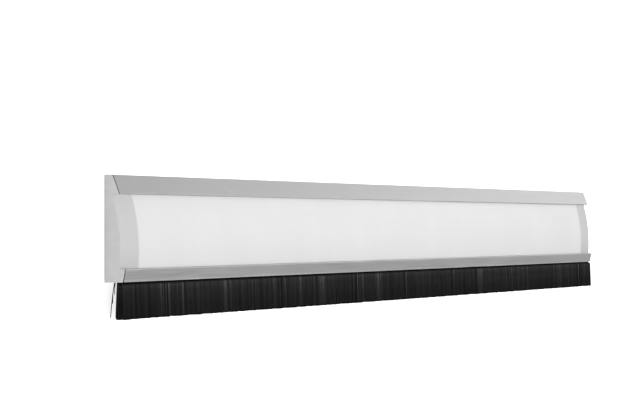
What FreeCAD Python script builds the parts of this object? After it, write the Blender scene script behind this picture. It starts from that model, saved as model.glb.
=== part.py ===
import FreeCAD, Part
import os

# A door draught strip that lies on its back: an aluminium profile with a clip-in cover strip,
# an end cap at each end, and a brush that slides in a groove along its lower edge.
# +X runs along the strip, +Y towards its top edge in use, +Z out of its face. Z is 0 at its back.

# Whole strip
LENGTH = 1000.0
HEIGHT = 36.0

# Back plate and upper band of the profile, with the pocket and the nose inside its lip
BACK_THICKNESS = 1.5
TOP_DEPTH = 2.5
TOP_WALL = 1.6
UPPER_BAND = 6.5
UPPER_LIP_EDGE = 2.0
POCKET_END_WIDTH = 0.3
NOSE_HEIGHT = 0.8
NOSE_STEP = 0.4

# Lower band of the profile: how far its lip stands above the cover strip, and how far it slopes back
LOWER_LIP_STAND = 1.4
LOWER_BEVEL = 0.8
LIP_UNDERCUT = 0.5
LIP_CATCH_DEPTH = 4.0
BAND_EDGE_RADIUS = 0.3

# Cover strip
COVER_WALL = 1.2
COVER_TUCK = 1.3
COVER_CROWN_DEPTH = 5.5
COVER_CROWN_DROP = 5.5
COVER_BARB_HEIGHT = 1.5

# Brush
BRUSH_BACK_WIDTH = 2.0
BRUSH_BACK_HEIGHT = 2.0
BRISTLE_ROOT_WIDTH = 1.2
BRISTLE_ROOT_GRIP = 1.3
BRISTLE_TIP_WIDTH = 3.4
BRISTLE_TIP_LEAN = 0.65
BRISTLE_REACH = 12.5
GROOVE_LIP = 0.9
GROOVE_ROOF_WALL = 0.9
GROOVE_FRONT_WALL = 0.5

# End caps
CAP_PLATE = 1.0
CAP_TONGUE = 23.6
CAP_SHADOW_GAP = 0.4
CAP_EDGE_RADIUS = 0.3

# Screw holes in the back plate, under the cover strip
SCREW_HOLE_DIAMETER = 4.5
SCREW_HOLE_COUNT = 4
SCREW_HOLE_INSET = 50.0

# Clearance between pieces that slide or clip together
FIT = 0.1

# Points nearer to each other than this are the same point
SAME_POINT = 0.0001

# Places that several pieces share. A drop is measured down from the top edge.
TOP_Y = (HEIGHT + BRISTLE_REACH) / 2
PROFILE_END_X = LENGTH / 2 - CAP_PLATE - CAP_SHADOW_GAP
COVER_END_X = LENGTH / 2 - CAP_PLATE - CAP_TONGUE - FIT
COVER_TOP_DEPTH = BACK_THICKNESS + FIT + COVER_WALL
UPPER_NOSE_DEPTH = COVER_TOP_DEPTH + FIT
UPPER_LIP_DEPTH = UPPER_NOSE_DEPTH + UPPER_LIP_EDGE
LOWER_LIP_DEPTH = COVER_CROWN_DEPTH + LOWER_LIP_STAND
BOTTOM_DEPTH = LOWER_LIP_DEPTH - LOWER_BEVEL
GROOVE_WIDTH = BRUSH_BACK_WIDTH + 2 * FIT
GROOVE_MID_DEPTH = BOTTOM_DEPTH - GROOVE_FRONT_WALL - GROOVE_WIDTH / 2
GROOVE_FLOOR_DROP = HEIGHT - GROOVE_LIP
GROOVE_ROOF_DROP = GROOVE_FLOOR_DROP - BRUSH_BACK_HEIGHT - 2 * FIT
UNDERCUT_DROP = GROOVE_ROOF_DROP - GROOVE_ROOF_WALL
LOWER_LIP_DROP = UNDERCUT_DROP - LIP_UNDERCUT
SLOT_WIDTH = BRISTLE_ROOT_WIDTH + 2 * FIT


def place(x, drop, depth):
    """A point of the section, from its drop below the top edge and its depth above the back."""
    return FreeCAD.Vector(x, TOP_Y - drop, depth)


def lines(x, points):
    """Straight edges through the section's points, each given as (drop, depth)."""
    ends = [place(x, drop, depth) for drop, depth in points]
    return [Part.LineSegment(a, b).toShape() for a, b in zip(ends, ends[1:])]


def arc(x, points):
    """A circular edge through three points of the section."""
    return Part.Arc(*[place(x, drop, depth) for drop, depth in points]).toShape()


def run_along(edges, length):
    """The solid that a closed section makes when it runs along the strip."""
    wire = Part.Wire(Part.sortEdges(edges)[0])
    return Part.Face(wire).extrude(FreeCAD.Vector(length, 0, 0))


def runs_from(edge, drop, depth):
    """Whether an edge is the one that runs along the strip from this corner of the section."""
    corner = place(0, drop, depth)
    ends = [FreeCAD.Vector(0, vertex.Y, vertex.Z) for vertex in edge.Vertexes]
    return all(end.distanceToPoint(corner) < SAME_POINT for end in ends)


def rounded(solid, corners, radius):
    """The solid with its long edges at these (drop, depth) corners rounded."""
    edges = [edge for edge in solid.Edges if any(runs_from(edge, *corner) for corner in corners)]
    return solid.makeFillet(radius, edges)


def band_corners():
    """The four outer corners of the two bevelled bands."""
    return [
        (0, TOP_DEPTH),
        (UPPER_BAND, UPPER_LIP_DEPTH),
        (LOWER_LIP_DROP, LOWER_LIP_DEPTH),
        (HEIGHT, BOTTOM_DEPTH),
    ]


def crown_depth(drop, inset=0.0):
    """The depth of the cover strip's face, a circular arch whose crown is near its lower edge."""
    crown_drop = LOWER_LIP_DROP - COVER_CROWN_DROP
    reach = crown_drop - UPPER_BAND
    rise = COVER_CROWN_DEPTH - COVER_TOP_DEPTH
    radius = (reach ** 2 + rise ** 2) / (2 * rise)
    centre_depth = COVER_CROWN_DEPTH - radius
    return centre_depth + ((radius - inset) ** 2 - (drop - crown_drop) ** 2) ** 0.5


def crown_arc(x, from_drop, to_drop, inset=0.0):
    """The arch as an edge, or its inner side when it is set in by the wall."""
    middle = (from_drop + to_drop) / 2
    drops = [from_drop, middle, to_drop]
    return arc(x, [(drop, crown_depth(drop, inset)) for drop in drops])


def make_profile():
    """The aluminium profile, with its undercut channel, brush groove and screw holes."""
    x = -PROFILE_END_X
    nose_top = UPPER_BAND - NOSE_HEIGHT
    groove_back = GROOVE_MID_DEPTH - GROOVE_WIDTH / 2
    groove_front = GROOVE_MID_DEPTH + GROOVE_WIDTH / 2
    slot_back = GROOVE_MID_DEPTH - SLOT_WIDTH / 2
    slot_front = GROOVE_MID_DEPTH + SLOT_WIDTH / 2
    outline = [
        (0, 0),
        (0, TOP_DEPTH),
        (UPPER_BAND, UPPER_LIP_DEPTH),
        (UPPER_BAND, UPPER_NOSE_DEPTH),
        (nose_top, UPPER_NOSE_DEPTH),
        (nose_top, UPPER_NOSE_DEPTH + NOSE_STEP),
        (TOP_WALL, BACK_THICKNESS + POCKET_END_WIDTH),
        (TOP_WALL, BACK_THICKNESS),
        (UNDERCUT_DROP, BACK_THICKNESS),
        (UNDERCUT_DROP, LIP_CATCH_DEPTH),
        (LOWER_LIP_DROP, LIP_CATCH_DEPTH),
        (LOWER_LIP_DROP, LOWER_LIP_DEPTH),
        (HEIGHT, BOTTOM_DEPTH),
        (HEIGHT, slot_front),
        (GROOVE_FLOOR_DROP, slot_front),
        (GROOVE_FLOOR_DROP, groove_front),
        (GROOVE_ROOF_DROP, groove_front),
        (GROOVE_ROOF_DROP, groove_back),
        (GROOVE_FLOOR_DROP, groove_back),
        (GROOVE_FLOOR_DROP, slot_back),
        (HEIGHT, slot_back),
        (HEIGHT, 0),
        (0, 0),
    ]
    bar = run_along(lines(x, outline), 2 * PROFILE_END_X)
    bar = rounded(bar, band_corners(), BAND_EDGE_RADIUS)
    return bar.cut(Part.makeCompound(screw_holes()))


def screw_holes():
    """The drills through the back plate, evenly spaced along the middle of the channel."""
    first_x = SCREW_HOLE_INSET - LENGTH / 2
    pitch = (LENGTH - 2 * SCREW_HOLE_INSET) / (SCREW_HOLE_COUNT - 1)
    channel_middle = (UPPER_BAND + LOWER_LIP_DROP) / 2
    drills = []
    for number in range(SCREW_HOLE_COUNT):
        foot = place(first_x + number * pitch, channel_middle, 0)
        drills.append(Part.makeCylinder(SCREW_HOLE_DIAMETER / 2, BACK_THICKNESS, foot))
    return drills


def cover_section(x):
    """The cover strip's section: an arch, an edge tucked under the upper lip, and a barbed leg."""
    leg_outside = LOWER_LIP_DROP - FIT
    leg_inside = leg_outside - COVER_WALL
    foot = BACK_THICKNESS + FIT
    catch = LIP_CATCH_DEPTH - FIT
    tuck_end = UPPER_BAND - COVER_TUCK
    leg = [
        (leg_outside, crown_depth(leg_outside)),
        (leg_outside, catch),
        (UNDERCUT_DROP - FIT, catch),
        (leg_outside, catch - COVER_BARB_HEIGHT),
        (leg_outside, foot),
        (leg_inside, foot),
        (leg_inside, crown_depth(leg_inside, COVER_WALL)),
    ]
    tuck = [
        (UPPER_BAND, COVER_TOP_DEPTH),
        (tuck_end, COVER_TOP_DEPTH),
        (tuck_end, foot),
        (UPPER_BAND, foot),
        (UPPER_BAND, crown_depth(UPPER_BAND, COVER_WALL)),
    ]
    face = crown_arc(x, UPPER_BAND, leg_outside)
    inside = crown_arc(x, UPPER_BAND, leg_inside, COVER_WALL)
    return lines(x, leg) + lines(x, tuck) + [face, inside]


def make_cover_strip():
    """The white cover strip, clipped into the channel between the two caps' tongues."""
    return run_along(cover_section(-COVER_END_X), 2 * COVER_END_X)


def make_end_cap(side):
    """An end cap: a plate of the whole outline, and a tongue with the cover strip's section."""
    plate_x = side * LENGTH / 2
    outline = [
        (LOWER_LIP_DROP, crown_depth(LOWER_LIP_DROP)),
        (LOWER_LIP_DROP, LOWER_LIP_DEPTH),
        (HEIGHT, BOTTOM_DEPTH),
        (HEIGHT, 0),
        (0, 0),
        (0, TOP_DEPTH),
        (UPPER_BAND, UPPER_LIP_DEPTH),
        (UPPER_BAND, COVER_TOP_DEPTH),
    ]
    edges = lines(plate_x, outline) + [crown_arc(plate_x, UPPER_BAND, LOWER_LIP_DROP)]
    plate = run_along(edges, -side * CAP_PLATE)
    plate = rounded(plate, band_corners(), CAP_EDGE_RADIUS)
    tongue = run_along(cover_section(plate_x - side * CAP_PLATE), -side * CAP_TONGUE)
    return plate.fuse(tongue).removeSplitter()


def make_brush_back():
    """The brush's back, a channel that holds the bristles' roots and slides in the groove."""
    foot_drop = GROOVE_FLOOR_DROP - FIT
    roof_drop = foot_drop - BRUSH_BACK_HEIGHT
    root_drop = foot_drop - BRISTLE_ROOT_GRIP
    back = GROOVE_MID_DEPTH - BRUSH_BACK_WIDTH / 2
    front = GROOVE_MID_DEPTH + BRUSH_BACK_WIDTH / 2
    root_back = GROOVE_MID_DEPTH - BRISTLE_ROOT_WIDTH / 2
    root_front = GROOVE_MID_DEPTH + BRISTLE_ROOT_WIDTH / 2
    outline = [
        (foot_drop, root_back),
        (root_drop, root_back),
        (root_drop, root_front),
        (foot_drop, root_front),
        (foot_drop, front),
        (roof_drop, front),
        (roof_drop, back),
        (foot_drop, back),
        (foot_drop, root_back),
    ]
    return run_along(lines(-PROFILE_END_X, outline), 2 * PROFILE_END_X)


def make_bristles():
    """The outer shape of the bristles: gripped at the root, spread and combed forward at the tip."""
    root_drop = GROOVE_FLOOR_DROP - FIT - BRISTLE_ROOT_GRIP
    tip_drop = HEIGHT + BRISTLE_REACH
    root_back = GROOVE_MID_DEPTH - BRISTLE_ROOT_WIDTH / 2
    root_front = GROOVE_MID_DEPTH + BRISTLE_ROOT_WIDTH / 2
    tip_back = GROOVE_MID_DEPTH + BRISTLE_TIP_LEAN - BRISTLE_TIP_WIDTH / 2
    tip_front = GROOVE_MID_DEPTH + BRISTLE_TIP_LEAN + BRISTLE_TIP_WIDTH / 2
    outline = [
        (root_drop, root_back),
        (HEIGHT, root_back),
        (tip_drop, tip_back),
        (tip_drop, tip_front),
        (HEIGHT, root_front),
        (root_drop, root_front),
        (root_drop, root_back),
    ]
    return run_along(lines(-PROFILE_END_X, outline), 2 * PROFILE_END_X)


PIECES = {
    "profile": make_profile(),
    "cover_strip": make_cover_strip(),
    "end_cap_left": make_end_cap(-1),
    "end_cap_right": make_end_cap(1),
    "brush_back": make_brush_back(),
    "bristles": make_bristles(),
}

os.makedirs("parts", exist_ok=True)
for name, shape in PIECES.items():
    shape.exportStep("parts/" + name + ".step")
    print(name, "solids", len(shape.Solids), "valid", shape.isValid(), "mm3", round(shape.Volume, 1))
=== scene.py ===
"""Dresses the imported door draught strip: its finishes, cover strip, end caps, bristles and the studio."""

import logging
import math
from dataclasses import dataclass
from enum import Enum

import bpy
import numpy as np
from mathutils import Matrix, Vector


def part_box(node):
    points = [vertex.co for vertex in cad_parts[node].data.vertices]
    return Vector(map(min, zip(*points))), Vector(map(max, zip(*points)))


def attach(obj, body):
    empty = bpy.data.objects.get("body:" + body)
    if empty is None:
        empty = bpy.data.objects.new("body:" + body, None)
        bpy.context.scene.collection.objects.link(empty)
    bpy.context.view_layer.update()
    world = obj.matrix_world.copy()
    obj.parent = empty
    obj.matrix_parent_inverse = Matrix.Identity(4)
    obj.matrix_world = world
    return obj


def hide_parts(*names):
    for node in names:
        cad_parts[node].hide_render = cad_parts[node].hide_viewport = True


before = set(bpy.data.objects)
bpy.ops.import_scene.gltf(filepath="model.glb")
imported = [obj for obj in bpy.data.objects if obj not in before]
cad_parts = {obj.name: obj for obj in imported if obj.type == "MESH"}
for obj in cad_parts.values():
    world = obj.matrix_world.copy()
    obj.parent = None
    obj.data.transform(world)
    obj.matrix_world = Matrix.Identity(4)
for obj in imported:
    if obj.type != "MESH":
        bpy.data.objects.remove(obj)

# A ramp is (from, to) at its low end and (from, to) at its high end
Ramp = tuple[tuple[float, float], tuple[float, float]]

MM = 0.001
BODY = "root"
PICTURE_WIDTH = 640
PICTURE_HEIGHT = 400
SMOOTH_ANGLE = math.radians(35.0)
STRAND_MAP = "strand"
BRISTLE_SEED = 257

log = logging.getLogger("draught_strip")


def grey(level: float) -> tuple:
    """A colour whose three parts are alike."""
    return level, level, level


def add_mesh(
    name: str, points: np.ndarray, corners: np.ndarray, sides: np.ndarray, smooth: bool = True
) -> bpy.types.Object:
    """Puts a surface into a new object.

    Args:
        name: The piece's name.
        points: Places in metres, one row each.
        corners: The point numbers of all faces, one face after another.
        sides: How many corners each face has.
        smooth: Whether light runs smoothly over the faces.

    Returns:
        The object, linked to the scene, at the origin.
    """
    mesh = bpy.data.meshes.new(name)
    mesh.vertices.add(len(points))
    mesh.vertices.foreach_set("co", points.astype(np.float32).ravel())
    mesh.loops.add(len(corners))
    mesh.loops.foreach_set("vertex_index", corners.astype(np.int32))
    mesh.polygons.add(len(sides))
    mesh.polygons.foreach_set("loop_start", (np.cumsum(sides) - sides).astype(np.int32))
    mesh.polygons.foreach_set("use_smooth", np.full(len(sides), smooth))
    mesh.update(calc_edges=True)
    mesh.validate()
    piece = bpy.data.objects.new(name, mesh)
    bpy.context.scene.collection.objects.link(piece)
    return piece


def dress(piece: bpy.types.Object, material: bpy.types.Material) -> None:
    """Gives every material slot of a piece the same finish.

    Args:
        piece: The piece.
        material: Its finish.
    """
    if not piece.material_slots:
        piece.data.materials.append(material)
    for held in piece.material_slots:
        held.material = material


def dress_solid(node: str, material: bpy.types.Material) -> None:
    """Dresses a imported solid, which is right as it is.

    Args:
        node: The solid's CAD node.
        material: Its finish.
    """
    dress(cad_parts[node], material)
    low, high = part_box(node)
    log.info("%s: %.0f mm long", node, (high.x - low.x) / MM)


def settle(piece: bpy.types.Object, material: bpy.types.Material, node: str) -> None:
    """Dresses a new piece, fixes it to the strip and hides the CAD node that it stands for.

    Args:
        piece: The piece.
        material: Its finish.
        node: The CAD node that it stands for.
    """
    dress(piece, material)
    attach(piece, BODY)
    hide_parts(node)
    log.info("%s: %d faces", piece.name, len(piece.data.polygons))


class Socket(Enum):
    """The kinds of socket that the shared shader groups have."""

    FLOAT = "NodeSocketFloat"
    VECTOR = "NodeSocketVector"


class End(Enum):
    """The strip's two ends, as the nodes' names call them."""

    LEFT = "left"
    RIGHT = "right"


class Tree:
    """A short way of writing a material's or a group's nodes."""

    def __init__(self, tree: bpy.types.NodeTree) -> None:
        """Empties the tree and keeps it."""
        self.tree = tree
        self.tree.nodes.clear()

    def node(self, kind: str, **values: object) -> bpy.types.Node:
        """Adds a node.

        Args:
            kind: The node's type.
            values: Its own properties, by name.

        Returns:
            The node.
        """
        made = self.tree.nodes.new(kind)
        for name, value in values.items():
            setattr(made, name, value)
        return made

    def feed(self, value: object, target: bpy.types.NodeSocket) -> None:
        """Joins an output to an input, or sets the input where the value is a number or a colour.

        Args:
            value: An output socket, a number or a colour of four numbers.
            target: The input.
        """
        if isinstance(value, bpy.types.NodeSocket):
            self.tree.links.new(value, target)
        else:
            target.default_value = value

    def maths(self, operation: str, first: object, second: object = 0.0) -> bpy.types.NodeSocket:
        """Adds a Math node.

        Args:
            operation: What the node does.
            first: A socket or a number.
            second: A socket or a number.

        Returns:
            The result.
        """
        made = self.node("ShaderNodeMath", operation=operation)
        for place, value in enumerate((first, second)):
            self.feed(value, made.inputs[place])
        return made.outputs[0]

    def ramp(self, value: bpy.types.NodeSocket, low: tuple, high: tuple) -> bpy.types.NodeSocket:
        """Maps a value along a ramp, held at both ends.

        Args:
            value: The number to map.
            low: The ramp's low end, as from and to.
            high: The ramp's high end, as from and to.

        Returns:
            The mapped number.
        """
        made = self.node("ShaderNodeMapRange")
        self.feed(value, made.inputs["Value"])
        for name, number in zip(("From Min", "To Min", "From Max", "To Max"), low + high):
            made.inputs[name].default_value = number
        return made.outputs["Result"]

    def scaled(
        self, number: bpy.types.NodeSocket, value: bpy.types.NodeSocket, ramps: tuple[Ramp, ...]
    ) -> bpy.types.NodeSocket:
        """Multiplies a number by each of several ramps of a value.

        Args:
            number: The number to multiply.
            value: What the ramps map.
            ramps: The ramps.

        Returns:
            The product.
        """
        for low, high in ramps:
            number = self.maths("MULTIPLY", number, self.ramp(value, low, high))
        return number

    def tint(self, mask: bpy.types.NodeSocket, first: object, second: object) -> bpy.types.NodeSocket:
        """Mixes two colours by a mask.

        Args:
            mask: How much of the second colour there is.
            first: A colour socket or three numbers.
            second: A colour socket or three numbers.

        Returns:
            The mixed colour.
        """
        made = self.node("ShaderNodeMix", data_type="RGBA")
        self.feed(mask, made.inputs["Factor"])
        for name, colour in (("A", first), ("B", second)):
            self.feed((*colour, 1.0) if isinstance(colour, tuple) else colour, made.inputs[name])
        return made.outputs["Result"]

    def noise(
        self, place: bpy.types.NodeSocket, scale: object, detail: float = 4.0
    ) -> bpy.types.NodeSocket:
        """Noise over a place, spread to fill 0 to 1.

        Args:
            place: The socket that the noise follows.
            scale: A socket or a number.
            detail: How many finer layers it has.

        Returns:
            The noise.
        """
        usual_low, usual_high = 0.3, 0.7
        made = self.node("ShaderNodeTexNoise")
        made.inputs["Detail"].default_value = detail
        self.feed(place, made.inputs["Vector"])
        self.feed(scale, made.inputs["Scale"])
        return self.ramp(made.outputs["Fac"], (usual_low, 0.0), (usual_high, 1.0))

    def split(self, vector: bpy.types.NodeSocket) -> bpy.types.NodeOutputs:
        """Takes a vector apart.

        Args:
            vector: The vector.

        Returns:
            Its parts, named X, Y and Z.
        """
        made = self.node("ShaderNodeSeparateXYZ")
        self.feed(vector, made.inputs[0])
        return made.outputs

    def from_end(self, place: bpy.types.NodeSocket, end_x: float) -> bpy.types.NodeSocket:
        """How far a place is from the nearer end of a piece that runs from -end_x to end_x."""
        return self.maths("SUBTRACT", end_x, self.maths("ABSOLUTE", self.split(place)["X"]))

    def seen(self) -> bpy.types.NodeSocket:
        """Tells the rays that show a surface from those that only carry light.

        Returns:
            One for rays from the camera, gloss or glass, and nought for others.
        """
        rays = self.node("ShaderNodeLightPath").outputs
        shiny = self.maths("MAXIMUM", rays["Is Glossy Ray"], rays["Is Transmission Ray"])
        return self.maths("MAXIMUM", rays["Is Camera Ray"], shiny)


def start_group(name: str, inputs: dict, outputs: tuple) -> tuple:
    """Starts a shader group with named sockets.

    Args:
        name: The group's name.
        inputs: Socket name to starting value, or to None for a vector.
        outputs: The names of its numbers.

    Returns:
        The tree's writer, the group's inputs and the group's output node.
    """
    group = bpy.data.node_groups.new(name, "ShaderNodeTree")
    for label, value in inputs.items():
        kind = Socket.VECTOR if value is None else Socket.FLOAT
        made = group.interface.new_socket(name=label, in_out="INPUT", socket_type=kind.value)
        if kind is Socket.FLOAT:
            made.default_value = value
    for label in outputs:
        group.interface.new_socket(name=label, in_out="OUTPUT", socket_type=Socket.FLOAT.value)
    tree = Tree(group)
    return tree, tree.node("NodeGroupInput").outputs, tree.node("NodeGroupOutput")


def drawn_lines_group() -> None:
    """The marks of an extrusion die: noise that is fine across the strip and far longer along it.

    Place is divided by Stretch along X and then read as noise. Lines goes from 0 to 1.
    """
    inputs = {"Place": None, "Lines Per Metre": 6000.0, "Stretch": 400.0}
    tree, given, result = start_group("drawn_lines", inputs, ("Lines",))
    parts = tree.split(given["Place"])
    joined = tree.node("ShaderNodeCombineXYZ")
    tree.feed(tree.maths("DIVIDE", parts["X"], given["Stretch"]), joined.inputs["X"])
    for part in ("Y", "Z"):
        tree.feed(parts[part], joined.inputs[part])
    lines = tree.noise(joined.outputs[0], given["Lines Per Metre"], detail=3.0)
    tree.feed(lines, result.inputs["Lines"])


def fine_grain_group() -> None:
    """The grain of a moulded or etched surface: Grain is fine noise, and Patches is broad and faint."""
    inputs = {"Place": None, "Grains Per Metre": 4000.0, "Patches Per Metre": 60.0}
    tree, given, result = start_group("fine_grain", inputs, ("Grain", "Patches"))
    tree.feed(tree.noise(given["Place"], given["Grains Per Metre"]), result.inputs["Grain"])
    tree.feed(tree.noise(given["Place"], given["Patches Per Metre"]), result.inputs["Patches"])


def edge_wear_and_highlight_group() -> None:
    """A lighter band along a straight edge: wear on the caps' rims, and a painted highlight along the
    aluminium's lower edge. Across is the coordinate that crosses it, and Edge is its value there.

    Wear is full at the edge and gone at Width from it. Noise breaks it up, down to no less than Steady.
    """
    patches_per_metre = 260.0
    patch_ramp = ((0.3, 0.0), (0.8, 1.0))
    inputs = {"Place": None, "Across": 0.0, "Edge": 0.0, "Width": 0.3 * MM, "Steady": 0.0}
    tree, given, result = start_group("edge_wear_and_highlight", inputs, ("Wear",))
    away = tree.maths("ABSOLUTE", tree.maths("SUBTRACT", given["Across"], given["Edge"]))
    near = tree.ramp(tree.maths("DIVIDE", away, given["Width"]), (0.0, 1.0), (1.0, 0.0))
    patchy = tree.ramp(tree.noise(given["Place"], patches_per_metre), *patch_ramp)
    held = tree.maths("MAXIMUM", patchy, given["Steady"])
    tree.feed(tree.maths("MULTIPLY", near, held), result.inputs["Wear"])


def use_group(
    tree: Tree, name: str, place: bpy.types.NodeSocket, **values: object
) -> bpy.types.NodeOutputs:
    """Places a shared group in a material.

    Args:
        tree: The material's writer.
        name: The group's name.
        place: The socket that the pattern follows.
        values: The group's numbers or sockets, by socket name with underscores for spaces.

    Returns:
        The group's outputs.
    """
    made = tree.node("ShaderNodeGroup", node_tree=bpy.data.node_groups[name])
    tree.feed(place, made.inputs["Place"])
    for label, value in values.items():
        tree.feed(value, made.inputs[label.replace("_", " ")])
    return made.outputs


def empty_material(name: str) -> tuple[bpy.types.Material, Tree]:
    """Starts a material with no nodes.

    Args:
        name: The material's name.

    Returns:
        The material and its writer.
    """
    material = bpy.data.materials.new(name)
    material.use_nodes = True
    return material, Tree(material.node_tree)


def start_material(name: str) -> tuple:
    """Starts a material with one Principled shader.

    Args:
        name: The material's name.

    Returns:
        The material, its writer, the shader node and the Object coordinate socket.
    """
    material, tree = empty_material(name)
    shader = tree.node("ShaderNodeBsdfPrincipled")
    output = tree.node("ShaderNodeOutputMaterial")
    tree.feed(shader.outputs["BSDF"], output.inputs["Surface"])
    place = tree.node("ShaderNodeTexCoord").outputs["Object"]
    return material, tree, shader, place


def add_relief(
    tree: Tree, shader: bpy.types.Node, relief: bpy.types.NodeSocket, roughness: tuple, depth: float
) -> None:
    """Roughens and raises a shader's surface by a relief map.

    Args:
        tree: The material's writer.
        shader: The Principled shader.
        relief: The map, from 0 to 1.
        roughness: The roughness where the map is 0 and where it is 1.
        depth: The relief's full depth in metres.
    """
    low, high = roughness
    tree.feed(tree.ramp(relief, (0.0, low), (1.0, high)), shader.inputs["Roughness"])
    bump = tree.node("ShaderNodeBump")
    bump.inputs["Distance"].default_value = depth
    tree.feed(relief, bump.inputs["Height"])
    tree.feed(bump.outputs["Normal"], shader.inputs["Normal"])


@dataclass(frozen=True)
class AnodisedAluminium:
    """Satin silver aluminium: faint die lines and marks along it, a painted highlight along its lower edge
    and painted seam shade at both cut ends.
    """

    # Painted highlight: a light band along the profile's lower edge, at this y
    highlight_edge: float
    highlight_width: float
    end_x: float
    seam_shade_width: float
    dark: tuple = grey(0.487)
    light: tuple = grey(0.563)
    # worn: the colour of the real scuffs and of the painted highlight along the lower edge
    worn: tuple = grey(0.90)
    # Painted shade: the dark colour of the seam beside each end cap
    seam_shade: tuple = grey(0.13)
    seam_shade_full: float = 0.8
    highlight_least: float = 0.6
    lines_per_metre: float = 5000.0
    line_stretch: float = 300.0
    line_depth: float = 0.004 * MM
    marks_per_metre: float = 2600.0
    mark_stretch: float = 70.0
    mark_ramp: Ramp = ((0.9, 0.0), (1.0, 0.22))
    roughness: tuple = (0.30, 0.42)

    def material(self) -> bpy.types.Material:
        """Builds the finish.

        Returns:
            The material.
        """
        material, tree, shader, place = start_material("anodised_aluminium")
        lines = use_group(
            tree, "drawn_lines", place, Lines_Per_Metre=self.lines_per_metre, Stretch=self.line_stretch
        )["Lines"]
        marks = use_group(
            tree, "drawn_lines", place, Lines_Per_Metre=self.marks_per_metre, Stretch=self.mark_stretch
        )["Lines"]
        # Painted highlight along the lower edge, patchy but never fainter than highlight_least
        rubbed = use_group(
            tree, "edge_wear_and_highlight", place, Across=tree.split(place)["Y"], Edge=self.highlight_edge,
            Width=self.highlight_width, Steady=self.highlight_least,
        )["Wear"]
        # The marks are real scuffs; the light band along the lower edge is a painted highlight
        wear = tree.maths("MAXIMUM", tree.ramp(marks, *self.mark_ramp), rubbed)
        colour = tree.tint(wear, tree.tint(lines, self.dark, self.light), self.worn)
        # Painted shade in the seam beside each end cap: the last strip of each end goes dark
        full = self.seam_shade_width * self.seam_shade_full
        seam_shade = tree.ramp(tree.from_end(place, self.end_x), (full, 1.0), (self.seam_shade_width, 0.0))
        shader.inputs["Metallic"].default_value = 1.0
        tree.feed(tree.tint(seam_shade, colour, self.seam_shade), shader.inputs["Base Color"])
        add_relief(tree, shader, lines, self.roughness, self.line_depth)
        return material


@dataclass(frozen=True)
class WhiteCover:
    """Smooth white extruded plastic with a soft sheen. A painted shade greys it a little towards its two cut
    ends.
    """

    end_x: float
    dark: tuple = grey(0.772)
    light: tuple = grey(0.800)
    # Painted shade at both cut ends, where the cover meets the caps' tongues
    end_shade: tuple = grey(0.60)
    end_shade_reach: float = 3.0 * MM
    patches_per_metre: float = 25.0
    lines_per_metre: float = 1800.0
    line_stretch: float = 500.0
    line_depth: float = 0.003 * MM
    roughness: tuple = (0.34, 0.44)

    def material(self) -> bpy.types.Material:
        """Builds the finish.

        Returns:
            The material.
        """
        material, tree, shader, place = start_material("white_cover_plastic")
        lines = use_group(
            tree, "drawn_lines", place, Lines_Per_Metre=self.lines_per_metre, Stretch=self.line_stretch
        )["Lines"]
        patches = use_group(tree, "fine_grain", place, Patches_Per_Metre=self.patches_per_metre)["Patches"]
        # Painted shade over the last few millimetres of each end
        cut = tree.ramp(tree.from_end(place, self.end_x), (0.0, 1.0), (self.end_shade_reach, 0.0))
        colour = tree.tint(patches, self.dark, self.light)
        tree.feed(tree.tint(cut, colour, self.end_shade), shader.inputs["Base Color"])
        add_relief(tree, shader, lines, self.roughness, self.line_depth)
        return material


@dataclass(frozen=True)
class Moulding:
    """Moulded plastic with a fine etched grain, and a little lighter where its outer rim is rubbed.

    Where its face turns down towards the strip's lower edge a painted shade makes it a little darker, as the
    picture shows.
    """

    name: str
    end_x: float
    dark: tuple
    light: tuple
    worn: tuple
    # low: the colour of the painted shade towards the strip's lower edge
    low: tuple
    painted_shade_ramp: Ramp = ((-6.5 * MM, 1.0), (0.5 * MM, 0.0))
    painted_shade_facing: Ramp = ((0.6, 0.0), (0.9, 1.0))
    worn_width: float = 0.4 * MM
    grains_per_metre: float = 3500.0
    patches_per_metre: float = 90.0
    grain_depth: float = 0.002 * MM
    roughness: tuple = (0.45, 0.60)
    shine: float = 0.3

    def material(self) -> bpy.types.Material:
        """Builds the finish.

        Returns:
            The material.
        """
        material, tree, shader, place = start_material(self.name)
        grain = use_group(
            tree, "fine_grain", place,
            Grains_Per_Metre=self.grains_per_metre, Patches_Per_Metre=self.patches_per_metre,
        )
        parts = tree.split(place)
        along = tree.maths("ABSOLUTE", parts["X"])
        upward = tree.split(tree.node("ShaderNodeNewGeometry").outputs["Normal"])["Z"]
        # Painted shade on upward faces towards the strip's lower edge
        low = tree.maths(
            "MULTIPLY", tree.ramp(upward, *self.painted_shade_facing), tree.ramp(parts["Y"], *self.painted_shade_ramp)
        )
        wear = use_group(
            tree, "edge_wear_and_highlight", place, Across=along, Edge=self.end_x, Width=self.worn_width
        )["Wear"]
        colour = tree.tint(low, tree.tint(grain["Patches"], self.dark, self.light), self.low)
        tree.feed(tree.tint(wear, colour, self.worn), shader.inputs["Base Color"])
        shader.inputs["Specular IOR Level"].default_value = self.shine
        add_relief(tree, shader, grain["Grain"], self.roughness, self.grain_depth)
        return material


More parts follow.
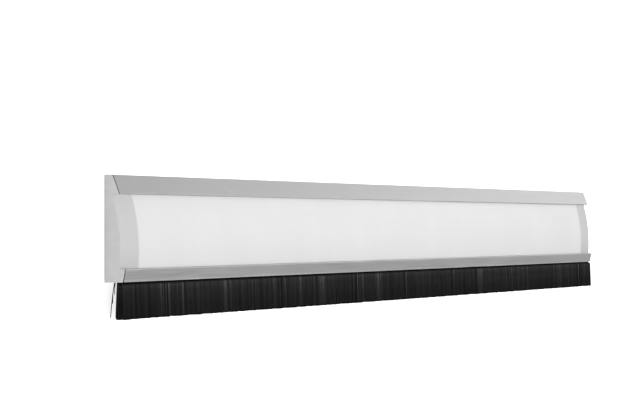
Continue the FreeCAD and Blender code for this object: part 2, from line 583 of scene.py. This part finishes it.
@dataclass(frozen=True)
class Filament:
    """Black nylon filament, lightest below the slot and darker towards its tip.

    Its UV map holds its own shade and the way from root to tip. The shade is multiplied by
    tip + root (1 - way) to a power, which is painted light: brightest just below the slot and fading to the
    tip.
    Ramps of the way then paint shade in the slot's mouth under the band, a little light over the lower part
    and shade again at the cut tip. The filaments' own shades come together to even near the root, and by a
    third towards the tip.
    """

    dark: tuple = (0.0015, 0.0015, 0.0016)
    light: tuple = (0.098, 0.098, 0.101)
    even: float = 0.26
    # tip and root: painted light along the filament, brightest just below the slot
    tip: float = 0.58
    root: float = 2.45
    root_power: float = 5.0
    # Painted shade in the slot's mouth, painted light over the lower part, painted shade at the cut tip
    painted_light_ramps: tuple[Ramp, ...] = (
        ((0.10, 0.0), (0.16, 1.0)), ((0.65, 1.0), (0.87, 1.12)), ((0.93, 1.0), (0.98, 0.35))
    )
    own_ramps: tuple[Ramp, ...] = (((0.11, 0.2), (0.15, 1.0)), ((0.3, 1.0), (0.9, 0.65)))
    roughness: float = 0.5
    shine: float = 0.035

    def material(self) -> bpy.types.Material:
        """Builds the finish.

        Returns:
            The material.
        """
        material, tree, shader, _ = start_material("black_filament")
        parts = tree.split(tree.node("ShaderNodeUVMap", uv_map=STRAND_MAP).outputs["UV"])
        own, way = parts["X"], parts["Y"]
        # Painted light and shade along the way from root to tip
        to_go = tree.maths("POWER", tree.maths("SUBTRACT", 1.0, way), self.root_power)
        level = tree.maths("ADD", tree.maths("MULTIPLY", to_go, self.root), self.tip)
        level = tree.scaled(level, way, self.painted_light_ramps)
        apart = tree.scaled(tree.maths("SUBTRACT", own, self.even), way, self.own_ramps)
        shade = tree.maths("MULTIPLY", tree.maths("ADD", apart, self.even), level)
        tree.feed(tree.tint(shade, self.dark, self.light), shader.inputs["Base Color"])
        shader.inputs["Roughness"].default_value = self.roughness
        shader.inputs["Specular IOR Level"].default_value = self.shine
        return material


def soften(corners: np.ndarray, radii: np.ndarray, steps: int = 7) -> np.ndarray:
    """Rounds the corners of a closed outline.

    At each corner a circle touches both sides, with its centre on the line that halves the corner. The arc
    goes round that centre from one touching point to the other. A corner with no radius stays one point.

    Args:
        corners: The outline's corners, one row each.
        radii: Each corner's radius.
        steps: Points on each arc.

    Returns:
        The outline's points, with no point twice.
    """
    tiny = 1e-9
    same_point = 1e-7
    back = np.roll(corners, 1, axis=0) - corners
    on = np.roll(corners, -1, axis=0) - corners
    back /= np.linalg.norm(back, axis=1, keepdims=True)
    on /= np.linalg.norm(on, axis=1, keepdims=True)
    half = np.arccos(np.clip((back * on).sum(axis=1), -1.0, 1.0)) / 2
    centre = corners + (back + on) * (radii / np.maximum(np.sin(2 * half), tiny))[:, None]
    reach = (radii / np.tan(half))[:, None]
    first = corners + back * reach - centre
    last = corners + on * reach - centre
    sweep = np.maximum(math.pi - 2 * half, tiny)[:, None]
    way = np.linspace(0.0, 1.0, steps)[None, :]
    share_first = (np.sin((1 - way) * sweep) / np.sin(sweep))[:, :, None]
    share_last = (np.sin(way * sweep) / np.sin(sweep))[:, :, None]
    loop = (centre[:, None] + share_first * first[:, None] + share_last * last[:, None]).reshape(-1, 2)
    fresh = np.linalg.norm(loop - np.roll(loop, 1, axis=0), axis=1) > same_point
    return loop[fresh]


def rounded_bar(
    section: np.ndarray, start: float, stop: float, start_round: float, stop_round: float
) -> tuple:
    """Runs a section along X, rounds the edges of both ends and closes them.

    Near an end the section is drawn in by r (1 - sin a) at r (1 - cos a) from the end, with a from 0 to 90
    degrees. A point is drawn in along the sum of its two sides' inward normals, divided by one plus their
    dot product. One plain ring close to each rounding keeps the shading of the long faces even.

    Args:
        section: A closed outline as y, z, anticlockwise as seen from +X.
        start: The lower x.
        stop: The higher x.
        start_round: The edge radius at the lower x.
        stop_round: The edge radius at the higher x.

    Returns:
        Points, corners and face sides, as add_mesh takes them.
    """
    hold = 0.4 * MM
    arc_points = 5
    turn = np.linspace(0.0, math.pi / 2, arc_points)
    near = start + start_round * (1 - np.cos(turn))
    far = stop - stop_round * (1 - np.cos(turn[::-1]))
    x = np.concatenate([near, [near[-1] + hold, far[0] - hold], far])
    near_drawn = start_round * (1 - np.sin(turn))
    far_drawn = stop_round * (1 - np.sin(turn[::-1]))
    drawn = np.concatenate([near_drawn, [0.0, 0.0], far_drawn])
    side = np.roll(section, -1, axis=0) - section
    side /= np.linalg.norm(side, axis=1, keepdims=True)
    inward = np.stack([-side[:, 1], side[:, 0]], axis=1)
    earlier = np.roll(inward, 1, axis=0)
    move = (inward + earlier) / (1 + (inward * earlier).sum(axis=1, keepdims=True))
    flat = section[None] + drawn[:, None, None] * move[None]
    rings = np.concatenate([np.broadcast_to(x[:, None, None], flat.shape[:2] + (1,)), flat], axis=2)
    count, size, _ = rings.shape
    number = np.arange(count * size).reshape(count, size)
    after = np.roll(number, -1, axis=1)
    quads = np.stack([number[:-1], after[:-1], after[1:], number[1:]], axis=-1).reshape(-1, 4)
    corners = np.concatenate([quads.ravel(), number[0, ::-1], number[-1]])
    sides = np.concatenate([np.full(len(quads), 4), [size, size]])
    return rings.reshape(-1, 3), corners, sides


def join(shells: list) -> tuple:
    """Puts several closed surfaces into one.

    Args:
        shells: Points, corners and face sides of each surface.

    Returns:
        Points, corners and face sides of all, as add_mesh takes them.
    """
    points, corners, sides = zip(*shells)
    first = np.cumsum([0] + [len(some) for some in points[:-1]])
    moved = [some + start for some, start in zip(corners, first)]
    return np.concatenate(points), np.concatenate(moved), np.concatenate(sides)


@dataclass(frozen=True)
class Section:
    """The strip's section: drops are measured down from its top edge and depths up from its back."""

    height: float = 36.0 * MM
    top_depth: float = 2.5 * MM
    upper_band: float = 6.5 * MM
    upper_lip_depth: float = 4.9 * MM
    lower_lip_drop: float = 31.5 * MM
    lower_lip_depth: float = 6.9 * MM
    bottom_depth: float = 6.1 * MM
    undercut_drop: float = 31.9 * MM
    crown_drop: float = 26.0 * MM
    crown_depth: float = 5.5 * MM
    cover_top_depth: float = 2.8 * MM
    cover_wall: float = 1.2 * MM
    cover_foot: float = 1.6 * MM
    cover_tuck: float = 1.3 * MM
    cover_radius: float = 0.15 * MM
    cover_edge: float = 0.05 * MM
    catch_depth: float = 3.9 * MM
    barb_height: float = 1.5 * MM
    snug: float = 0.02 * MM
    band_radius: float = 0.3 * MM
    plate_fillet: float = 0.4 * MM
    plate_points: int = 25

    def y(self, drop: float) -> float:
        """The y of a drop."""
        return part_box("profile")[1].y - drop

    def arch(self, first: float, last: float, inset: float = 0.0, points: int = 49) -> np.ndarray:
        """The cover's arch from one drop to another, as rows of drop, depth and a corner radius of nought.

        A circle rises from the upper lip to the crown, with a radius of (reach squared + rise squared) /
        (2 rise).

        Args:
            first: The drop where the arch starts.
            last: The drop where it ends.
            inset: How far it lies inside the cover's face.
            points: How many points it has.

        Returns:
            One row for each point.
        """
        reach = self.crown_drop - self.upper_band
        rise = self.crown_depth - self.cover_top_depth
        radius = (reach ** 2 + rise ** 2) / (2 * rise)
        drop = np.linspace(first, last, points)
        depth = self.crown_depth - radius + np.sqrt((radius - inset) ** 2 - (drop - self.crown_drop) ** 2)
        return np.stack([drop, depth, np.zeros(points)], axis=1)

    def outline(self, stretches: list) -> np.ndarray:
        """Closes stretches into one rounded outline.

        Args:
            stretches: Rows of drop, depth and corner radius.

        Returns:
            The outline as y, z, anticlockwise seen from +X.
        """
        rows = np.concatenate([np.atleast_2d(some) for some in stretches])
        corners = np.stack([self.y(rows[:, 0]), rows[:, 1]], axis=1)
        ahead = np.roll(corners, -1, axis=0)
        area = (corners[:, 0] * ahead[:, 1] - ahead[:, 0] * corners[:, 1]).sum()
        way = 1 if area > 0 else -1
        return soften(corners[::way], rows[::way, 2])

    def cover(self) -> np.ndarray:
        """Draws the cover strip: the arch, an edge tucked under the upper lip, and a barbed leg.

        Returns:
            The outline as y, z.
        """
        outside = self.lower_lip_drop - self.snug
        inside = outside - self.cover_wall
        tuck_end = self.upper_band - self.cover_tuck
        face = self.arch(self.upper_band, outside)
        face[-1, 2] = self.cover_edge
        under = self.arch(inside, self.upper_band, self.cover_wall)
        leg = [
            (outside, self.catch_depth, 0.0),
            (self.undercut_drop, self.catch_depth, self.cover_radius),
            (outside, self.catch_depth - self.barb_height, 0.0),
            (outside, self.cover_foot, self.cover_radius),
            (inside, self.cover_foot, self.cover_radius),
        ]
        tuck = [
            (tuck_end, self.cover_foot, self.cover_radius),
            (tuck_end, self.cover_top_depth, self.cover_radius),
        ]
        return self.outline([face, leg, under, tuck])

    def plate(self) -> np.ndarray:
        """Draws the end cap's plate: the two bands, and the arch between them.

        Returns:
            The outline as y, z.
        """
        face = self.arch(self.upper_band, self.lower_lip_drop, points=self.plate_points)
        face[[0, -1], 2] = self.plate_fillet
        bands = [
            (self.lower_lip_drop, self.lower_lip_depth, self.band_radius),
            (self.height, self.bottom_depth, self.band_radius),
            (self.height, 0.0, 0.0),
            (0.0, 0.0, 0.0),
            (0.0, self.top_depth, self.band_radius),
            (self.upper_band, self.upper_lip_depth, self.band_radius),
        ]
        return self.outline([face, bands])


@dataclass(frozen=True)
class Profile:
    """The aluminium profile, whose solid is right as it is and only needs its finish."""

    # How wide the painted highlight along the lower edge is
    highlight_width: float = 0.9 * MM
    # How wide the painted seam shade is at each cut end
    seam_shade_width: float = 1.1 * MM

    def dress(self) -> None:
        """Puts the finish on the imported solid."""
        low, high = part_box("profile")
        finish = AnodisedAluminium(low.y, self.highlight_width, high.x, self.seam_shade_width)
        dress_solid("profile", finish.material())


@dataclass(frozen=True)
class BrushBack:
    """The black channel that grips the bristles' roots. Its solid only needs its finish."""

    end_x: float

    def dress(self) -> None:
        """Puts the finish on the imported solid."""
        finish = Moulding(
            "black_back_plastic", self.end_x,
            dark=grey(0.02), light=grey(0.03), worn=grey(0.05), low=grey(0.02),
        )
        dress_solid("brush_back", finish.material())


@dataclass(frozen=True)
class CoverStrip:
    """The white cover strip, clipped between the two bands."""

    section: Section
    edge_radius: float = 0.12 * MM

    def build(self) -> None:
        """Runs the cover's section between the two end caps' tongues."""
        low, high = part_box("cover_strip")
        shell = rounded_bar(self.section.cover(), low.x, high.x, self.edge_radius, self.edge_radius)
        piece = add_mesh("white_cover_strip", *shell)
        piece.data.set_sharp_from_angle(angle=SMOOTH_ANGLE)
        settle(piece, WhiteCover(high.x).material(), "cover_strip")


@dataclass(frozen=True)
class EndCaps:
    """The grey end caps: a plate over the profile's end, and a tongue that fills the channel's end."""

    section: Section
    end_x: float
    plate_thickness: float = 1.0 * MM
    rim_radius: float = 0.15 * MM
    inner_radius: float = 0.06 * MM
    tongue_radius: float = 0.15 * MM
    sunk: float = 0.3 * MM

    def bar(self, outline: np.ndarray, end: End, outer: float, inner: float, radii: tuple) -> tuple:
        """Runs an outline along one end of the strip and rounds its two edges.

        Args:
            outline: The outline as y, z.
            end: The end that it is at.
            outer: How far its outer face is from the strip's middle.
            inner: How far its inner face is from there.
            radii: The outer and the inner edge radius.

        Returns:
            Points, corners and face sides, as add_mesh takes them.
        """
        if end is End.LEFT:
            return rounded_bar(outline, -outer, -inner, *radii)
        return rounded_bar(outline, inner, outer, *reversed(radii))

    def cap(self, end: End, material: bpy.types.Material) -> None:
        """Makes the cap of one end.

        Args:
            end: The end.
            material: The cap's finish.
        """
        node = f"end_cap_{end.value}"
        low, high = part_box(node)
        outer = max(-low.x, high.x)
        tongue_end = min(abs(low.x), abs(high.x))
        inner = outer - self.plate_thickness
        plate = self.bar(self.section.plate(), end, outer, inner, (self.rim_radius, self.inner_radius))
        tongue_radii = (self.inner_radius, self.tongue_radius)
        tongue = self.bar(self.section.cover(), end, inner + self.sunk, tongue_end, tongue_radii)
        piece = add_mesh(f"grey_cap_{end.value}", *join([plate, tongue]))
        piece.data.set_sharp_from_angle(angle=SMOOTH_ANGLE)
        settle(piece, material, node)

    def build(self) -> None:
        """Makes both caps, in one finish."""
        finish = Moulding(
            "grey_cap_plastic", self.end_x,
            # low is the colour of the painted shade near the lower edge
            dark=grey(0.605), light=grey(0.611), worn=grey(0.632), low=grey(0.55),
        )
        material = finish.material()
        for end in End:
            self.cap(end, material)


def value_noise(at: np.ndarray, pitch: float, rng: np.random.Generator) -> np.ndarray:
    """Random numbers from -1 to 1 at even steps, joined by straight lines.

    Args:
        at: Where to read the noise, in metres along the strip.
        pitch: The distance between two random numbers.
        rng: The seeded source.

    Returns:
        The noise at each place.
    """
    steps = np.arange(at.min() - pitch, at.max() + 2 * pitch, pitch)
    return np.interp(at, steps, rng.uniform(-1.0, 1.0, len(steps)))


def held_noise(at: np.ndarray, pitch: float, rng: np.random.Generator) -> np.ndarray:
    """Random numbers from -1 to 1, each held over one even step. It takes what value_noise takes."""
    step = ((at - at.min()) / pitch).astype(int)
    return rng.uniform(-1.0, 1.0, step.max() + 1)[step]


def waves(at: np.ndarray, layers: tuple, rng: np.random.Generator) -> np.ndarray:
    """Adds up layers of value_noise, each given as its pitch and its height."""
    return sum(height * value_noise(at, pitch, rng) for pitch, height in layers)


@dataclass
class Bristles:
    """What the row and the strays share: where the brush is, its spread, and how filaments become a mesh."""

    radius: float = 0.1 * MM
    sides: int = 3
    end_gap: float = 0.1 * MM
    root_spread: float = 1.1 * MM
    tip_spread: float = 3.3 * MM
    tip_lean: float = 0.65 * MM

    def __post_init__(self) -> None:
        """Reads the brush's place from the frame."""
        self.low, self.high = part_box("bristles")
        back_low, back_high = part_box("brush_back")
        self.root_y = back_low.y
        self.mouth_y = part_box("profile")[0].y
        self.middle_z = (back_low.z + back_high.z) / 2
        self.first_x = self.low.x + self.end_gap
        self.last_x = self.high.x - self.end_gap

    def tubes(self, lines: np.ndarray) -> tuple:
        """Carries a ring of the filament's radius along each centre line and closes both ends.

        Args:
            lines: The centre lines, filaments by rings by x, y, z.

        Returns:
            Points, corners and face sides, as add_mesh takes them.
        """
        count, rings, _ = lines.shape
        sides = self.sides
        turn = np.arange(sides) * 2 * math.pi / sides
        ring = np.stack([np.cos(turn), np.zeros(sides), np.sin(turn)], axis=1) * self.radius
        points = lines[:, :, None, :] + ring[None, None, :, :]
        number = np.arange(count * rings * sides).reshape(count, rings, sides)
        after = np.roll(number, -1, axis=2)
        quads = np.stack([number[:, :-1], after[:, :-1], after[:, 1:], number[:, 1:]], axis=-1)
        quads = quads.reshape(-1, 4)
        corners = np.concatenate([quads.ravel(), number[:, 0, ::-1].ravel(), number[:, -1].ravel()])
        face_sides = np.concatenate([np.full(len(quads), 4), np.full(2 * count, sides)])
        return points.reshape(-1, 3), corners, face_sides

    def bundle(
        self, name: str, lines: np.ndarray, shade: np.ndarray, material: bpy.types.Material
    ) -> None:
        """Makes one piece of many filaments. Its UV map holds their shades and the way from root to tip.

        Args:
            name: The piece's name.
            lines: The centre lines, filaments by rings by x, y, z.
            shade: Each filament's shade.
            material: The filaments' finish.
        """
        points, corners, faces = self.tubes(lines)
        piece = add_mesh(name, points, corners, faces)
        per_point = np.repeat(shade, lines.shape[1] * self.sides)
        way = (points[:, 1] - self.root_y) / (self.low.y - self.root_y)
        at = np.empty(len(corners), np.int32)
        piece.data.loops.foreach_get("vertex_index", at)
        strand = piece.data.uv_layers.new(name=STRAND_MAP)
        pairs = np.stack([per_point[at], way[at]], axis=1)
        strand.data.foreach_set("uv", pairs.astype(np.float32).ravel())
        settle(piece, material, "bristles")


@dataclass
class BristleRow(Bristles):
    """The row: thousands of filaments that spread from the slot to the cut tips.

    Each pair in tufts, rows or shade_waves is the pitch and the height of one layer of value_noise.
    """

    filaments: int = 42000
    parts: int = 5
    ring_ways: tuple = (0.0, 0.078, 0.135, 1.0)
    root_scatter: float = 0.03 * MM
    fan_front: float = 0.55 * MM
    fan_back: float = 3.5 * MM
    tufts: tuple = ((3.0 * MM, 0.25 * MM), (11.0 * MM, 0.3 * MM))
    tuft_scatter: float = 0.07 * MM
    rows: tuple = ((2.6 * MM, 0.12 * MM),)
    row_scatter: float = 0.05 * MM
    splay: float = 0.3 * MM
    splay_reach: float = 15.0 * MM
    notch_pitch: float = 2.2 * MM
    notch_share: float = 0.5
    notch_depth: float = 2.0 * MM
    cut_wave: float = 0.1 * MM
    cut_wave_pitches: tuple = (0.9 * MM, 4.0 * MM)
    cut_scatter: float = 0.05 * MM
    back_short: float = 1.0 * MM
    back_power: int = 24
    shortest: float = 1.2 * MM
    shade_waves: tuple = ((14.0 * MM, 0.12),)
    shade_scatter: float = 0.12
    shade_limit: float = 0.8
    cluster_pitch: float = 14.0 * MM
    cluster_strength: float = 2.4
    cluster_middle: float = 0.1
    cluster_range: tuple = (0.2, 1.0)
    # Streaks are random tone; their dark ones also stand as painted shade in the gaps between tufts
    streak_pitches: tuple = (1.3 * MM, 2.3 * MM, 4.1 * MM)
    streak_strengths: tuple = (1.4, 1.3, 0.85)
    streak_power: int = 3

    def leans(self, along: np.ndarray, across: np.ndarray, rng: np.random.Generator) -> tuple:
        """How far each tip stands from its root.

        Tufts lean together along the strip. Out of it a tip leans with its place in the row, so that the row
        spreads from the slot to the tips. Close to the row's ends, where nothing stands beside them, the ones
        at the back splay further.

        Args:
            along: Each root's x.
            across: Each filament's place in the row's thickness, from -1 at the back to 1 at the front.
            rng: The seeded source.

        Returns:
            The lean along X and the lean along Z.
        """
        lean_x = waves(along, self.tufts, rng) + rng.normal(0.0, self.tuft_scatter, len(along))
        lean_z = self.tip_lean + across * (self.tip_spread - self.root_spread) / 2
        lean_z = lean_z + waves(along, self.rows, rng) + rng.normal(0.0, self.row_scatter, len(along))
        from_end = np.minimum(along - self.first_x, self.last_x - along).clip(0.0)
        splayed = np.minimum(across, 0.0) * self.splay * np.exp(-from_end / self.splay_reach)
        return lean_x, lean_z + splayed

    def cut(self, along: np.ndarray, across: np.ndarray, rng: np.random.Generator) -> np.ndarray:
        """How far each tip stops short: by notches, by waves, by chance, and most of all at the back.

        Args:
            along: Each root's x.
            across: Each filament's place in the row's thickness, from -1 at the back to 1 at the front.
            rng: The seeded source.

        Returns:
            One length for each filament.
        """
        deep = np.clip(value_noise(along, self.notch_pitch, rng) - self.notch_share, 0.0, 1.0)
        wave = sum(value_noise(along, pitch, rng) for pitch in self.cut_wave_pitches)
        short = rng.exponential(self.cut_scatter, len(along)) + self.cut_wave * (1.0 + wave)
        short = short + deep * self.notch_depth + self.back_short * ((1 - across) / 2) ** self.back_power
        return np.clip(short, 0.0, self.shortest)

    def centrelines(self, rng: np.random.Generator) -> np.ndarray:
        """Every filament's centre line.

        It drops evenly from root to tip. Below the slot's mouth it moves sideways by 1 - exp(-drop / fan) of
        its whole lean. At the front it spreads at once and hangs nearly straight from there, and at the back
        it spreads more slowly. The filaments lie closest together at the brush's two faces.

        Args:
            rng: The seeded source.

        Returns:
            An array of filaments by rings by x, y, z.
        """
        count = self.filaments
        along = np.linspace(self.first_x, self.last_x, count)
        along = along + rng.normal(0.0, self.root_scatter, count)
        across = np.sin(math.pi / 2 * rng.uniform(-1.0, 1.0, count))
        lean_x, lean_z = self.leans(along, across, rng)
        tip_y = self.low.y + self.cut(along, across, rng)
        root_z = self.middle_z + across * self.root_spread / 2
        way = np.array(self.ring_ways)
        drop = np.clip(self.mouth_y - self.root_y + way * (self.root_y - self.low.y), 0.0, None)
        fan = np.where(across < 0, self.fan_back, self.fan_front)[:, None]
        lines = np.empty((count, len(way), 3))
        lines[:, :, 0] = np.clip(along[:, None] + lean_x[:, None] * way, self.first_x, self.last_x)
        lines[:, :, 1] = self.root_y + (tip_y - self.root_y)[:, None] * way
        lines[:, :, 2] = root_z[:, None] + lean_z[:, None] * (1 - np.exp(-drop / fan))
        return lines

    def shades(self, along: np.ndarray, rng: np.random.Generator) -> np.ndarray:
        """Each filament's shade: even, times the exponential of faint waves and of streaks in clusters.

        Args:
            along: Each root's x.
            rng: The seeded source.

        Returns:
            The shades, from 0 to shade_limit.
        """
        streak = waves(along, self.shade_waves, rng)
        streak = streak + self.shade_scatter * rng.normal(0.0, 1.0, len(along))
        cluster = self.cluster_strength * value_noise(along, self.cluster_pitch, rng) + self.cluster_middle
        where = np.clip(cluster, *self.cluster_range)
        # Random tone streaks, whose dark ones also paint the shade in the gaps between tufts
        for pitch, strength in zip(self.streak_pitches, self.streak_strengths):
            streak = streak + strength * where * held_noise(along, pitch, rng) ** self.streak_power
        return np.clip(Filament.even * np.exp(streak), 0.0, self.shade_limit)

    def build(self, material: bpy.types.Material, rng: np.random.Generator) -> None:
        """Builds the row in a few parts along the strip.

        Args:
            material: The filaments' finish.
            rng: The seeded source.
        """
        lines = self.centrelines(rng)
        shade = self.shades(lines[:, 0, 0], rng)
        for number, chosen in enumerate(np.array_split(np.arange(self.filaments), self.parts), start=1):
            self.bundle(f"bristles_{number}", lines[chosen], shade[chosen], material)


@dataclass
class StrayBristles(Bristles):
    """Filaments that have left the row.

    Those of near_end stand off behind the near end, as the photograph shows. Each gives the tip's z, the
    bow, how far the tip stops short, and the power.
    """

    radius: float = 0.15 * MM
    sides: int = 5
    strays: int = 60
    rings: int = 9
    shade_range: tuple = (0.1, 0.3)
    move_scatter: float = 1.2 * MM
    stand_off: float = 0.25 * MM
    bow_scatter: float = 0.15 * MM
    short: float = 1.5 * MM
    power: float = 0.6
    near_end: tuple = (
        (1.75 * MM, 0.0, 0.7 * MM, 0.45),
        (2.45 * MM, -0.1 * MM, 5.5 * MM, 0.35),
        (3.2 * MM, -0.1 * MM, 8.5 * MM, 0.3),
    )

    def centrelines(self, rng: np.random.Generator) -> np.ndarray:
        """Every stray's centre line.

        It drops evenly from root to tip, moves sideways by a power of the way, and bows by a half wave.

        Args:
            rng: The seeded source.

        Returns:
            An array of strays by rings by x, y, z.
        """
        count = self.strays
        way = np.linspace(0.0, 1.0, self.rings)[None, :]
        root_x = rng.uniform(self.first_x, self.last_x, count)
        side = rng.choice([-1.0, 1.0], count)
        move_x = rng.normal(0.0, self.move_scatter, count)
        root_z = self.middle_z + side * self.root_spread / 2
        stand_off = rng.uniform(0.0, self.stand_off, count)
        tip_z = self.middle_z + self.tip_lean + side * (self.tip_spread / 2 + stand_off)
        bow = rng.normal(0.0, self.bow_scatter, count)
        short = rng.uniform(0.0, self.short, count)
        power = np.full(count, self.power)
        placed = slice(len(self.near_end))
        root_x[placed] = self.first_x
        move_x[placed] = 0.0
        root_z[placed] = self.middle_z - self.root_spread / 2
        tip_z[placed], bow[placed], short[placed], power[placed] = np.array(self.near_end).T
        tip_y = self.low.y + short
        lines = np.empty((count, self.rings, 3))
        lines[:, :, 0] = np.clip(root_x[:, None] + move_x[:, None] * way, self.first_x, self.last_x)
        lines[:, :, 1] = self.root_y + (tip_y - self.root_y)[:, None] * way
        sideways = (tip_z - root_z)[:, None] * way ** power[:, None]
        lines[:, :, 2] = root_z[:, None] + sideways + bow[:, None] * np.sin(math.pi * way)
        return lines

    def build(self, material: bpy.types.Material, rng: np.random.Generator) -> None:
        """Builds all strays as one piece."""
        lines = self.centrelines(rng)
        self.bundle("stray_bristles", lines, rng.uniform(*self.shade_range, self.strays), material)


@dataclass(frozen=True)
class Portrait:
    """The camera. It stands beside the near end and looks along the strip, with the door's up as its own up.

    Its place comes from the near end's back edge in the picture, the horizon, the point where the strip's
    long edges meet, all in the picture's pixels, and the angle between the view and the strip's face. So the
    near end has the photograph's size and the far end falls on its right edge.
    """

    near_edge: float = 104.3
    top_edge: float = 174.5
    bottom_edge: float = 282.6
    horizon: float = 224.5
    meeting_point: float = 1422.0
    turn: float = math.radians(78.1)
    sensor_width: float = 36.0
    clip_start: float = 0.01

    def place(self) -> None:
        """Makes the camera and gives it to the scene."""
        low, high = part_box("profile")
        corner = Vector((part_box("end_cap_left")[0].x, high.y, low.z))
        focal_length = (self.meeting_point - PICTURE_WIDTH / 2) * math.tan(self.turn)
        per_metre = (self.bottom_edge - self.top_edge) / (high.y - low.y)
        forward = Vector((math.sin(self.turn), 0.0, -math.cos(self.turn)))
        right = Vector((math.cos(self.turn), 0.0, math.sin(self.turn)))
        up = Vector((0.0, 1.0, 0.0))
        sideways = (self.near_edge - PICTURE_WIDTH / 2) / per_metre
        upward = (self.horizon - self.top_edge) / per_metre
        spot = corner - forward * (focal_length / per_metre) - right * sideways - up * upward
        lens = bpy.data.cameras.new("portrait")
        lens.sensor_width = self.sensor_width
        lens.lens = self.sensor_width * focal_length / PICTURE_WIDTH
        lens.shift_y = (self.horizon - PICTURE_HEIGHT / 2) / PICTURE_WIDTH
        lens.clip_start = self.clip_start
        camera = bpy.data.objects.new("portrait", lens)
        turned = Matrix((right, up, -forward)).transposed().to_4x4()
        camera.matrix_world = Matrix.Translation(spot) @ turned
        bpy.context.scene.collection.objects.link(camera)
        bpy.context.scene.camera = camera


@dataclass(frozen=True)
class Studio:
    """A pale floor, an even sky, large soft lamps, and a card that only reflections see."""

    floor_reach: float = 30.0
    floor_drop: float = 0.2 * MM
    floor_colour: float = 0.8
    floor_glow: float = 0.8
    sky: float = 0.32
    key_place: tuple = (0.15, -0.1, 2.4)
    key_size: float = 1.2
    key_power: float = 33.5
    fill_place: tuple = (-2.4, -0.4, 0.9)
    fill_size: float = 1.6
    fill_power: float = 19.5
    card_distance: float = 6.0
    card_width: float = 8.0
    card_height: float = 4.5
    card_left: Ramp = ((-0.30, 0.285), (-0.06, 1.0))
    card_rise: Ramp = ((0.35, 1.0), (0.60, 2.04))
    card_right: Ramp = ((0.60, 1.0), (1.12, 0.14))

    def sheet(self, name: str, places: list, material: bpy.types.Material) -> bpy.types.Object:
        """Puts up a flat sheet.

        Args:
            name: The sheet's name.
            places: Its four corners.
            material: Its finish.

        Returns:
            The sheet.
        """
        sheet = add_mesh(name, np.array(places), np.arange(4), np.array([4]), smooth=False)
        dress(sheet, material)
        return sheet

    def lay_floor(self) -> None:
        """Lays the floor, which is white to the eye, keeps shadows, and can be looked through from below."""
        material, tree = empty_material("pale_floor")
        matt = tree.node("ShaderNodeBsdfDiffuse")
        matt.inputs["Color"].default_value = (*grey(self.floor_colour), 1.0)
        glow = tree.node("ShaderNodeEmission")
        tree.feed(tree.maths("MULTIPLY", tree.seen(), self.floor_glow), glow.inputs["Strength"])
        both = tree.node("ShaderNodeAddShader")
        tree.feed(matt.outputs[0], both.inputs[0])
        tree.feed(glow.outputs[0], both.inputs[1])
        clear = tree.node("ShaderNodeBsdfTransparent")
        mix = tree.node("ShaderNodeMixShader")
        tree.feed(tree.node("ShaderNodeNewGeometry").outputs["Backfacing"], mix.inputs["Fac"])
        tree.feed(both.outputs[0], mix.inputs[1])
        tree.feed(clear.outputs[0], mix.inputs[2])
        tree.feed(mix.outputs[0], tree.node("ShaderNodeOutputMaterial").inputs["Surface"])
        reach, z = self.floor_reach, -self.floor_drop
        places = [(-reach, -reach, z), (reach, -reach, z), (reach, reach, z), (-reach, reach, z)]
        floor = self.sheet("floor", places, material)

    def stand_card(self) -> None:
        """Stands a card beyond the far end: white where the cover reflects it, and uneven on both sides.

        The lower band slopes one way and reflects the card's grey left. The upper band slopes the other way
        and reflects its right, which is bright close to the middle and darkens outwards, as the picture's
        band does. The card throws no light or shadow and the camera doesn't see it.
        """
        material, tree = empty_material("card_greys")
        across = tree.split(tree.node("ShaderNodeTexCoord").outputs["Object"])["Y"]
        level = tree.scaled(tree.ramp(across, *self.card_left), across, (self.card_rise, self.card_right))
        glow = tree.node("ShaderNodeEmission")
        tree.feed(level, glow.inputs["Strength"])
        tree.feed(glow.outputs[0], tree.node("ShaderNodeOutputMaterial").inputs["Surface"])
        x, half, top = self.card_distance, self.card_width / 2, self.card_height
        places = [(x, -half, 0.0), (x, half, 0.0), (x, half, top), (x, -half, top)]
        card = self.sheet("reflected_card", places, material)
        card.visible_camera = False
        card.visible_diffuse = False
        card.visible_shadow = False

    def light_sky(self) -> None:
        """Fills the sky with even light. It is white to the eye."""
        world = bpy.data.worlds.new("studio")
        bpy.context.scene.world = world
        world.use_nodes = True
        tree = Tree(world.node_tree)
        sky = tree.node("ShaderNodeBackground")
        sky.inputs["Color"].default_value = (*grey(1.0), 1.0)
        tree.feed(tree.ramp(tree.seen(), (0.0, self.sky), (1.0, 1.0)), sky.inputs["Strength"])
        tree.feed(sky.outputs[0], tree.node("ShaderNodeOutputWorld").inputs["Surface"])

    def hang_lamp(self, name: str, place: tuple, size: float, power: float) -> None:
        """Hangs a square soft lamp that faces the strip's middle.

        Args:
            name: The lamp's name.
            place: Where it hangs.
            size: The length of its side.
            power: Its power in watts.
        """
        light = bpy.data.lights.new(name, "AREA")
        light.size = size
        light.energy = power
        spot = Vector(place)
        held = bpy.data.objects.new(name, light)
        turned = (-spot).to_track_quat("-Z", "Y").to_matrix().to_4x4()
        held.matrix_world = Matrix.Translation(spot) @ turned
        bpy.context.scene.collection.objects.link(held)

    def build(self) -> None:
        """Sets up the floor, the card, the sky and the lamps."""
        self.lay_floor()
        self.stand_card()
        self.light_sky()
        self.hang_lamp("key_above", self.key_place, self.key_size, self.key_power)
        self.hang_lamp("fill_near_end", self.fill_place, self.fill_size, self.fill_power)


def main() -> None:
    """Builds the camera, the studio and every piece, and reports each one."""
    logging.basicConfig(level=logging.INFO, format="%(name)s: %(message)s")
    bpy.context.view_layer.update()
    bpy.context.scene.view_settings.view_transform = "Standard"
    Portrait().place()
    Studio().build()
    drawn_lines_group()
    fine_grain_group()
    edge_wear_and_highlight_group()
    section = Section()
    end_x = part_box("end_cap_right")[1].x
    Profile().dress()
    CoverStrip(section).build()
    EndCaps(section, end_x).build()
    BrushBack(end_x).dress()
    rng = np.random.default_rng(BRISTLE_SEED)
    filament = Filament().material()
    BristleRow().build(filament, rng)
    StrayBristles().build(filament, rng)


if __name__ == "__main__":
    main()
